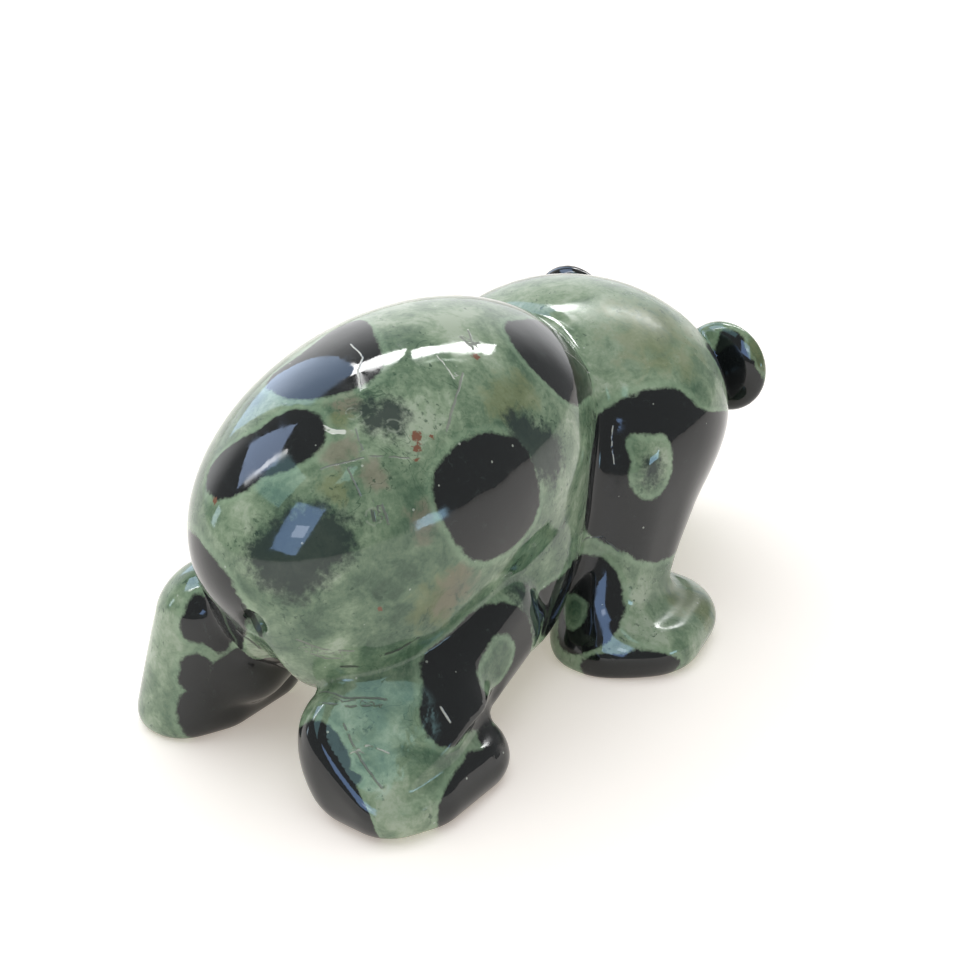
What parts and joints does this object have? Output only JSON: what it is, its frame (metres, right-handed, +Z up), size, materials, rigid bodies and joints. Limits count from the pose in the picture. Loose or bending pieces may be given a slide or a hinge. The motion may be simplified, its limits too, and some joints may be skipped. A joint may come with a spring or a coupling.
{
  "type": "jasper bear carving",
  "caption": "Small standing bear carved from one piece of green orb jasper and polished, with a domed rump, high shoulders, round ears and flat soles.",
  "frame": {"origin": "on the ground under the middle of the bear's box", "axes": "+Z up, the bear faces -Y, its right side is -X"},
  "size_m": [0.0421, 0.075, 0.0371],
  "materials": {
    "polished_jasper": "high polish, green orb jasper with dark round spots"
  },
  "bodies": {
    "root": {"bear": "polished_jasper"}
  },
  "joints": []
}
